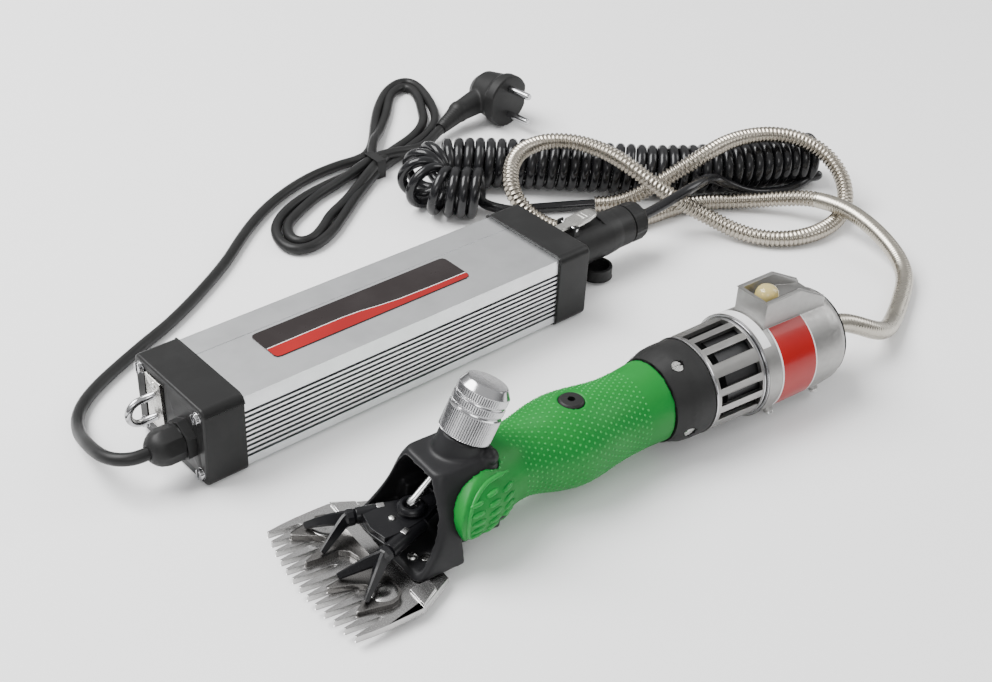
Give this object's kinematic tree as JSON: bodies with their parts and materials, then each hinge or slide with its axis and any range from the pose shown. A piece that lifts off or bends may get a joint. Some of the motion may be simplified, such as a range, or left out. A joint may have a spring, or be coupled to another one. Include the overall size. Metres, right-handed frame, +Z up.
{
  "type": "electric sheep shears",
  "caption": "Electric sheep-shearing handpiece with a toothed comb, swinging cutter and tension knob, joined by a curly cord and steel conduit to a finned controller box with a mains plug.",
  "frame": {"origin": "bottom centre of the handpiece, controller box and connector together, on the surface they lie on; the free cords and the mains plug are not counted", "axes": "+X along the controller box from its cord gland to its handpiece connector, +Y across it away from the handpiece, +Z up"},
  "size_m": [0.5361, 0.4538, 0.0839],
  "materials": {
    "black_casting": "satin black wrinkle-free paint on a die casting",
    "comb_steel": "ground bright tool steel",
    "cutter_steel": "hollow-ground steel with bright points",
    "chrome_trim": "polished chrome plate",
    "black_oxide": "oiled black-oxide steel",
    "zinc_screws": "bright zinc plate",
    "hard_steel": "ground steel",
    "gear_steel": "machined steel",
    "rotor_iron": "varnished laminated iron",
    "commutator_copper": "turned copper",
    "fan_plastic": "moulded nylon",
    "brush_carbon": "pressed carbon",
    "collar_black": "matt black glass-filled nylon",
    "cage_silver": "satin silver die casting",
    "housing_silver": "fine-grained die-cast silver",
    "switch_black": "moulded black",
    "button_amber": "translucent yellowish rubber dome",
    "gasket_black": "matt black rubber",
    "label_film": "printed film, one blank white and one plain red",
    "grip_green": "bright green moulded rubber with raised dots and bars",
    "case_aluminium": "satin anodised extrusion",
    "cap_black": "moulded black plastic, soft edges",
    "board_green": "glass-fibre board",
    "label_black": "black film with a plain red band",
    "gland_black": "black nylon",
    "plug_black": "black moulded connector",
    "latch_metal": "satin die-cast metal",
    "cord_black": "satin black cord sheath",
    "coil_black": "glossy black polyurethane sheath",
    "conduit_metal": "ridged nickel-plated spiral conduit"
  },
  "bodies": {
    "shears": {"head_housing": "black_casting", "comb": "comb_steel", "comb_screws": "zinc_screws", "tension_pin": "black_oxide", "centre_post": "hard_steel", "crank_bearings": "hard_steel", "rotor_bearings": "hard_steel", "stator_shell": "rotor_iron", "carbon_brushes": "brush_carbon", "motor_collar": "collar_black", "motor_screws": "zinc_screws", "motor_cage": "cage_silver", "rear_housing": "housing_silver", "switch_body": "switch_black", "rear_cap": "gasket_black", "motor_labels": "label_film", "grip_sleeve": "grip_green", "oil_plug": "collar_black", "case_body": "case_aluminium", "gland_end_cap": "cap_black", "socket_end_cap": "cap_black", "cap_screws": "chrome_trim", "circuit_board": "board_green", "transformer": "rotor_iron", "label_plate": "label_black", "eye_plate": "cap_black", "hanging_eye": "chrome_trim", "gland_body": "gland_black", "gland_nut": "gland_black", "panel_socket": "plug_black", "plug_shell": "plug_black", "plug_nut": "plug_black", "hinge_pins": "hard_steel", "mains_cord": "cord_black", "mains_hank": "cord_black", "mains_tie": "cord_black", "mains_plug": "plug_black", "plug_pins": "chrome_trim", "curly_lead": "coil_black", "curly_cord": "coil_black", "curly_tail": "coil_black", "conduit": "conduit_metal"},
    "swing_fork": {"fork_yoke": "black_oxide", "chicken_foot_left": "black_oxide", "chicken_foot_right": "black_oxide", "tension_cup": "chrome_trim", "cutter": "cutter_steel"},
    "tension_sleeve": {"tension_sleeve": "chrome_trim"},
    "tension_knob": {"tension_knob": "chrome_trim"},
    "crank": {"crank_shaft": "hard_steel", "crank_roller": "hard_steel", "drive_gear": "gear_steel"},
    "rotor": {"rotor_shaft": "hard_steel", "rotor_core": "rotor_iron", "commutator": "commutator_copper", "cooling_fan": "fan_plastic", "motor_pinion": "gear_steel"},
    "switch_button": {"switch_button": "button_amber"},
    "plug_latch": {"plug_latch": "latch_metal"},
    "dust_cap": {"dust_cap": "cap_black"}
  },
  "joints": [
    {"name": "cutter_swing", "type": "hinge", "parent": "shears", "child": "swing_fork", "pos_m": [-0.10167, -0.0532, 0.008], "axis": [0, 0, 1], "range_deg": [-5.7, 5.7]},
    {"name": "tension_knob_turn", "type": "hinge", "parent": "tension_sleeve", "child": "tension_knob", "pos_m": [-0.07408, -0.05571, 0.0554], "axis": [0.4475, -0.0407, 0.8934], "range_deg": [0, 1080]},
    {"name": "tension_lift", "type": "slide", "parent": "shears", "child": "tension_sleeve", "axis": [0.4475, -0.0407, 0.8934], "range_m": [0, 0.003]},
    {"name": "rotor_spin", "type": "hinge", "parent": "shears", "child": "rotor", "pos_m": [0.08456, -0.07015, 0.028], "axis": [0.9959, -0.0906, 0], "continuous": true},
    {"name": "crank_spin", "type": "hinge", "parent": "shears", "child": "crank", "pos_m": [-0.01503, -0.06109, 0.02], "axis": [0.9959, -0.0906, 0], "continuous": true},
    {"name": "switch_press", "type": "slide", "parent": "shears", "child": "switch_button", "axis": [0, 0, -1], "range_m": [0, 0.0015], "stiffness_N_per_m": 900, "springref_m": -0.0005},
    {"name": "latch_lift", "type": "hinge", "parent": "shears", "child": "plug_latch", "pos_m": [0.11125, 0.07085, 0.0393], "axis": [0, 1, 0], "range_deg": [0, 9], "stiffness_Nm_per_rad": 0.05, "springref_deg": -22.92},
    {"name": "dust_cap_swing", "type": "hinge", "parent": "shears", "child": "dust_cap", "pos_m": [0.10675, 0.0641, 0.005], "axis": [0, 0, 1], "range_deg": [-12, 12]}
  ],
  "couplings": [
    {"joint": "crank_spin", "follows": "rotor_spin", "ratio": -0.73913},
    {"joint": "tension_lift", "follows": "tension_knob_turn", "m_per_rad": 0.00015915}
  ]
}
